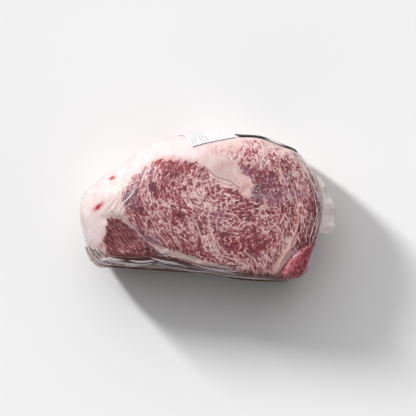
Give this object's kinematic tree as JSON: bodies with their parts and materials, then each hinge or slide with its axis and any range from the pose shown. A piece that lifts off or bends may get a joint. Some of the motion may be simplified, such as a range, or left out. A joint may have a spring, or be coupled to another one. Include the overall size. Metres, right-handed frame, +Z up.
{
  "type": "raw beef rib roast",
  "caption": "Boneless marbled beef rib roast in clear shrink film, standing on one cut face, with a loose film tail and two plain labels on its fat side.",
  "frame": {"origin": "middle of the whole part's box in plan, at the height of the face it stands on", "axes": "+X from the tail of fat to the chine side (longest), +Y from the flat rib side to the fat cap, +Z up along the grain (shortest)"},
  "size_m": [0.257, 0.152, 0.1012],
  "materials": {
    "beef": "moist raw beef and fat under clinging clear film",
    "film": "clear shrink film, glossy",
    "white_label": "matt white label paper with plain ruled lines",
    "black_label": "black label, satin"
  },
  "bodies": {
    "root": {"bagged_beef": "beef", "film_tail": "film", "film_gather": "film", "white_label": "white_label", "black_label": "black_label"}
  },
  "joints": []
}
